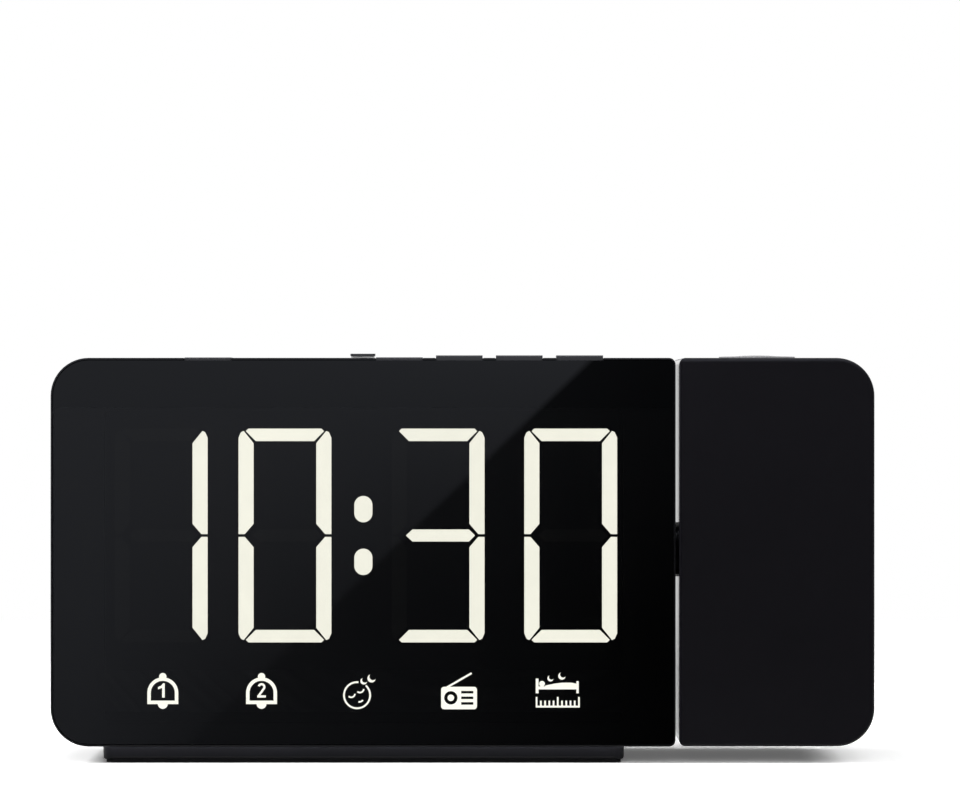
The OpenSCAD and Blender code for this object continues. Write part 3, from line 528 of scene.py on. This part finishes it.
def make_sign(name, parts, x, z, material):
    """Joins a sign's parts into one solid and sets it behind the panel."""
    whole = sign_part(parts[0])
    for outlines in parts[1:]:
        other = sign_part(outlines)
        union = whole.modifiers.new("join", "BOOLEAN")
        union.operation = "UNION"
        union.solver = "EXACT"
        union.object = other
        mesh = final_mesh(whole)
        whole.modifiers.clear()
        whole.data = mesh
        bpy.data.objects.remove(other)
    whole.data.materials.clear()
    whole.data.materials.append(material)
    upright = Matrix.Rotation(math.pi / 2, 4, "X") @ Matrix.Scale(MM, 4)
    whole.data.transform(Matrix.Translation((x, film_lo.y - SIGN_T / 2 * MM, z)) @ upright)
    whole.name = whole.data.name = name
    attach(whole, "clock_body")


def bell(figure):
    """An alarm bell in outline, 7.2 wide and 8.4 high, with a figure in it."""
    base, reach, pen = -3.0, 3.58, 0.8
    crown = (0, -0.4)
    dome = [(reach, base)] + arc(crown, reach, 0, 180) + [(-reach, base)]
    inner = [(reach - pen, base + pen)] + arc(crown, reach - pen, 0, 180) + [(pen - reach, base + pen)]
    knob = disc((0, 3.35), 0.85)
    clapper = arc((0, base + 0.05), 1.15, 180, 360)
    return [[dome, inner], [knob], [clapper]] + figure


def figure_one():
    return [[[(-0.15, -1.5), (0.45, -1.5), (0.45, 1.8), (0.02, 1.8), (-0.35, 1.3), (-1.1, 0.95),
              (-1.1, 0.4), (-0.15, 0.75)]]]


def figure_two():
    bow = arc((0, 0.95), 0.65, 165, -40, 16)
    return [[stroke(bow + [(-0.72, -1.15)], 0.5)], [block(-1.0, -1.5, 1.0, -0.98)]]


def crescent(center, r):
    """A moon: a disc with a smaller disc bitten out of its upper side, then tilted."""
    tilt = -40
    bite_r = 0.86 * r
    shift = 0.55 * r
    level = (shift ** 2 + r ** 2 - bite_r ** 2) / (2 * shift)
    tip = math.degrees(math.asin(level / r))
    bite_tip = math.degrees(math.asin((level - shift) / bite_r))
    outer = arc(center, r, 180 - tip, 360 + tip, 24)
    inner = arc((center[0], center[1] + shift), bite_r, bite_tip, -180 - bite_tip, 24)
    return turned(outer + inner[1:-1], tilt, center)


def nap_face():
    """A round sleeping face, its head on one side, under two moons. Its outline is open
    where the lower moon lies."""
    tilt, pen = 22, 0.37
    outline = stroke(arc((-0.75, -0.95), 3.02, 84, 408, 60), 0.42)
    lid = stroke(arc((0, 0.45), 0.9, 208, 332, 10), pen)
    mouth = stroke(arc((0, 0.75), 1.1, 240, 300, 10), pen)
    return [[outline], [turned(lid, tilt, shift=(-1.95, -0.95))], [turned(lid, tilt, shift=(0.08, 0.15))],
            [turned(mouth, tilt, shift=(0.0, -2.1))], [crescent((0.8, 2.3), 0.78)],
            [crescent((2.6, 2.95), 0.95)]]


def radio():
    """A table radio with a slanting aerial, a round dial and a row of slits."""
    dial_at = (-1.9, -1.55)
    case = block(-4.15, -4.2, 4.15, 1.0, 0.7)
    slits = [block(0.5, z, 3.3, z + 0.6) for z in (-3.15, -1.85, -0.55)]
    aerial = stroke([(-2.9, 0.8), (2.9, 4.15)], 0.44)
    return [[case, disc(dial_at, 1.55)] + slits, [disc(dial_at, 0.75)], [aerial]]


def bed():
    """A bed under two moons, over a scale of minutes."""
    reach = 5.1
    quilt = [(-2.9, 0.8), (4.5, 0.8), (4.5, 1.7), (3.1, 1.95), (1.0, 1.95), (-0.6, 1.75), (-2.9, 1.3)]
    parts = [[block(-reach, -0.5, -4.45, 2.9)], [block(4.3, -0.5, 4.85, 2.3)],
             [block(-4.6, 0.4, 4.5, 1.1)], [quilt], [disc((-3.65, 1.7), 0.66)],
             [crescent((-1.7, 2.95), 0.7)], [crescent((0.95, 3.5), 0.85)],
             [block(-reach, -3.8, reach, -3.35)]]
    ticks, half_pen = 11, 0.2
    tall, short = -1.35, -2.2
    for i in range(ticks):
        x = -reach + half_pen + i * 2 * (reach - half_pen) / (ticks - 1)
        parts.append([block(x - half_pen, -3.6, x + half_pen, tall if i % 5 == 0 else short)])
    return parts


def make_signs():
    material = lit("lit_sign", SEGMENT, SIGN_GLOW)
    signs = [("icon_alarm_one", bell(figure_one())), ("icon_alarm_two", bell(figure_two())),
             ("icon_nap", nap_face()), ("icon_radio", radio()), ("icon_sleep_timer", bed())]
    middle = (len(signs) - 1) / 2
    for i, (name, parts) in enumerate(signs):
        make_sign(name, parts, icon_mid_x + (i - middle) * icon_pitch, icon_z, material)


# ---- Room: floor, cards and lights ----

AMBIENT = 0.09
FLOOR_HALF = 3

# The photograph shows its floor brighter than it lights the clock
FLOOR_COLOR = 0.86
FLOOR_SEEN = 1.4
FLOOR_LIFT = 0.12

# Away from the clock the floor fades into the white of the room
FADE_START = 0.25
FADE_END = 0.6


def see_white(n):
    """1 for rays that see the room's white, straight on or in gloss and glass."""
    path = n.add("ShaderNodeLightPath")
    seen = n.math("MAXIMUM", path.outputs["Is Camera Ray"], path.outputs["Is Glossy Ray"])
    return n.math("MAXIMUM", seen, path.outputs["Is Transmission Ray"])


def make_world():
    world = bpy.data.worlds.new("room")
    scene.world = world
    n = Nodes(world)
    background = n.add("ShaderNodeBackground")
    background.inputs["Color"].default_value = (1, 1, 1, 1)
    n.link(n.map(see_white(n), 0, 1, AMBIENT, 1), background.inputs["Strength"])
    n.finish(background.outputs[0], "ShaderNodeOutputWorld")


def plane(name, corners):
    """A flat card of four corners that belongs to the stage."""
    mesh = bpy.data.meshes.new(name)
    mesh.from_pydata(corners, [], [(0, 1, 2, 3)])
    obj = bpy.data.objects.new(name, mesh)
    scene.collection.objects.link(obj)
    return obj


def make_floor():
    half = FLOOR_HALF
    floor = plane("floor", [(-half, -half, 0), (half, -half, 0), (half, half, 0), (-half, half, 0)])
    material = bpy.data.materials.new("floor_white")
    n = Nodes(material)
    near = n.add("ShaderNodeBsdfDiffuse")
    lift = n.add("ShaderNodeEmission")
    camera_ray = n.add("ShaderNodeLightPath").outputs["Is Camera Ray"]
    n.link(n.map(camera_ray, 0, 1, FLOOR_COLOR, FLOOR_SEEN), near.inputs["Color"])
    n.link(n.math("MULTIPLY", camera_ray, FLOOR_LIFT), lift.inputs["Strength"])
    both = n.add("ShaderNodeAddShader")
    n.link(near.outputs[0], both.inputs[0])
    n.link(lift.outputs[0], both.inputs[1])
    far = n.add("ShaderNodeEmission")
    n.link(see_white(n), far.inputs["Strength"])
    distance = n.add("ShaderNodeVectorMath", operation="LENGTH")
    n.link(n.place(), distance.inputs[0])
    fade = n.map(distance.outputs["Value"], FADE_START, FADE_END, 0, 1)
    n.finish(n.mix(fade, both.outputs[0], far.outputs[0]))
    floor.data.materials.append(material)


# A dark tent round the clock's front that only its gloss sees. It is open to the back.
TENT_Y = front_y - 0.045
TENT_BACK = 0.2
TENT_HALF = 0.45
TENT_TOP = 0.5
TENT_FLOOR = 0.4 * MM
TENT_COLOR = (0.88, 0.93, 1.06, 1)
TENT_GLOW = 0.02
TENT_FLOOR_GLOW = 0.1

# The slanting edge of its light lies between these two places on the panel, in x and z
EDGE_TOP = (0.0299, 0.0935)
EDGE_BOTTOM = (-0.0611, 0.0069)
EDGE_SOFT = 0.8 * MM


def glossy_only(obj):
    obj.visible_camera = False
    obj.visible_diffuse = False
    obj.visible_transmission = False
    obj.visible_shadow = False
    obj.visible_volume_scatter = False


def on_card(x, z):
    """Where a point of the panel sees the tent's front from the camera, by reflection."""
    reach = (CAMERA_DISTANCE + front_y - TENT_Y) / CAMERA_DISTANCE
    return (CAMERA_X + reach * (x - CAMERA_X), CAMERA_Z + reach * (z - CAMERA_Z))


def glow_card(name, corners, strength):
    """One side of the tent. strength is a number, or gives its light from the nodes and axes."""
    card = plane(name, corners)
    material = bpy.data.materials.new(name)
    n = Nodes(material)
    glow = n.add("ShaderNodeEmission")
    glow.inputs["Color"].default_value = TENT_COLOR
    if callable(strength):
        n.link(strength(n, n.axes()), glow.inputs["Strength"])
    else:
        glow.inputs["Strength"].default_value = strength
    n.finish(glow.outputs[0])
    card.data.materials.append(material)
    glossy_only(card)


def slanting_edge(n, axes):
    """Paler to the upper left of a slanting edge, and darker to the right on both its sides."""
    top = on_card(*EDGE_TOP)
    bottom = on_card(*EDGE_BOTTOM)
    along = Vector((top[0] - bottom[0], top[1] - bottom[1])).normalized()
    across = n.math("ADD", n.math("MULTIPLY", axes["X"], -along.y), n.math("MULTIPLY", axes["Z"], along.x))
    edge = bottom[0] * -along.y + bottom[1] * along.x
    pale = n.map(n.math("SUBTRACT", across, edge), -EDGE_SOFT, EDGE_SOFT, 0, 1)
    # To the right of the edge the light dies away along the panel, and grows a little upwards
    right = n.math("ADD", n.map(axes["X"], -0.095, 0.047, 0.22, 0.015),
                   n.map(axes["Z"], 0.03, 0.095, 0, 0.07))
    # To the left of it the light falls from the panel's top, and the faster the further right
    full, full_z = 0.56, 0.091
    fall = n.map(axes["X"], -0.093, 0.06, 2.1, 11.0)
    left = n.math("SUBTRACT", full, n.math("MULTIPLY", fall, n.math("SUBTRACT", full_z, axes["Z"])))
    return n.math("ADD", n.math("MULTIPLY", left, pale),
                  n.math("MULTIPLY", right, n.math("SUBTRACT", 1, pale)))


def make_tent():
    lo, hi = -TENT_HALF, TENT_HALF
    panel_foot_y = front_y - MM
    glow_card("tent_front", [(lo, TENT_Y, 0), (hi, TENT_Y, 0), (hi, TENT_Y, TENT_TOP),
                             (lo, TENT_Y, TENT_TOP)], slanting_edge)
    glow_card("tent_floor", [(lo, TENT_Y, TENT_FLOOR), (hi, TENT_Y, TENT_FLOOR),
                             (hi, panel_foot_y, TENT_FLOOR), (lo, panel_foot_y, TENT_FLOOR)],
              TENT_FLOOR_GLOW)
    glow_card("tent_top", [(lo, TENT_Y, TENT_TOP), (hi, TENT_Y, TENT_TOP),
                           (hi, TENT_BACK, TENT_TOP), (lo, TENT_BACK, TENT_TOP)], TENT_GLOW)
    for name, x in (("tent_left", lo), ("tent_right", hi)):
        glow_card(name, [(x, TENT_Y, 0), (x, TENT_BACK, 0), (x, TENT_BACK, TENT_TOP),
                         (x, TENT_Y, TENT_TOP)], TENT_GLOW)


# Name, place, aim, size and power of each lamp. Only the last one is seen in the gloss.
LOW_AIM = (0, 0, 0.03)
SOFTBOXES = [("left_softbox", (-1.1, -0.25, 0.95), LOW_AIM, (0.6, 0.5), 15),
             ("right_softbox", (1.1, -0.25, 0.95), LOW_AIM, (0.6, 0.9), 11),
             ("front_softbox", (0.0, -1.6, 0.85), LOW_AIM, (1.2, 1.1), 11),
             ("top_softbox", (0.0, -0.03, 1.6), (0, 0, 0), (1.2, 0.2), 4)]


def make_lights():
    for name, at, aim, size, power in SOFTBOXES:
        data = bpy.data.lights.new(name, "AREA")
        data.shape = "RECTANGLE"
        data.size, data.size_y = size
        data.energy = power
        lamp = bpy.data.objects.new(name, data)
        lamp.location = at
        lamp.rotation_euler = (Vector(aim) - Vector(at)).to_track_quat("-Z", "Y").to_euler()
        lamp.visible_glossy = name == "top_softbox"
        scene.collection.objects.link(lamp)


make_camera()
dress_frame()
make_signs()
make_world()
make_floor()
make_tent()
make_lights()
